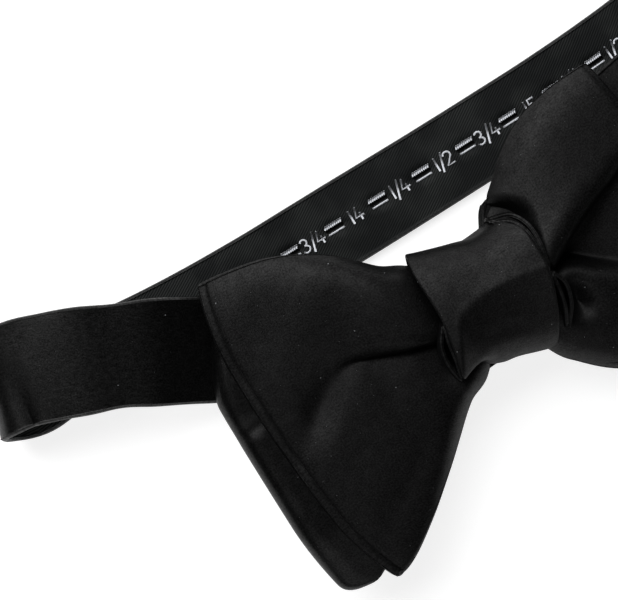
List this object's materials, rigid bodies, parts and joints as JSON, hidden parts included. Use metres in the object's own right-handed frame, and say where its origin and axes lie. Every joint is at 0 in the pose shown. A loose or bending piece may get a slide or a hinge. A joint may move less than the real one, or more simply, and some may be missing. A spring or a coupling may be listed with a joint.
{
  "type": "bow tie",
  "caption": "Tied self-tie satin bow with a knot, layered wings and an adjustable neckband with a slotted size tape, ring and hook.",
  "frame": {"origin": "middle of the knot's flat back, on the surface that the tie lies on", "axes": "+X along the bow towards its folded front loop, +Y from the bow towards the band behind the neck, +Z out of the front of the knot"},
  "size_m": [0.2208, 0.0951, 0.027],
  "materials": {
    "satin": "satin",
    "interlining": "matt brushed wool",
    "size_tape": "fine twill",
    "white_thread": "woven thread",
    "black_thread": "sewing thread",
    "nickel_wire": "polished nickel"
  },
  "bodies": {
    "tie": {"front_flat_end": "satin", "front_flat_end_interlining": "interlining", "front_loop": "satin", "front_loop_interlining": "interlining", "back_loop": "satin", "back_loop_interlining": "interlining", "back_flat_end": "satin", "back_flat_end_interlining": "interlining", "knot_wrap": "satin", "knot_wrap_interlining": "interlining", "knot_core": "satin", "left_band": "satin", "left_band_interlining": "interlining", "size_tape": "size_tape", "slot_bars": "white_thread", "size_numerals": "white_thread", "right_band": "satin", "right_band_interlining": "interlining", "ring_tab": "satin", "ring_tab_stitching": "black_thread", "hook_tab": "satin", "hook_tab_stitching": "black_thread"},
    "ring": {"slide_ring": "nickel_wire"},
    "hook": {"t_hook": "nickel_wire"}
  },
  "joints": [
    {"name": "ring_swing", "type": "hinge", "parent": "tie", "child": "ring", "pos_m": [0.06582, 0.02271, 0.008], "axis": [-0.4179, 0.9085, 0], "range_deg": [-6, 6]},
    {"name": "hook_swing", "type": "hinge", "parent": "tie", "child": "hook", "pos_m": [0.09353, 0.03545, 0.005], "axis": [-0.4179, 0.9085, 0], "range_deg": [-5, 5]}
  ]
}
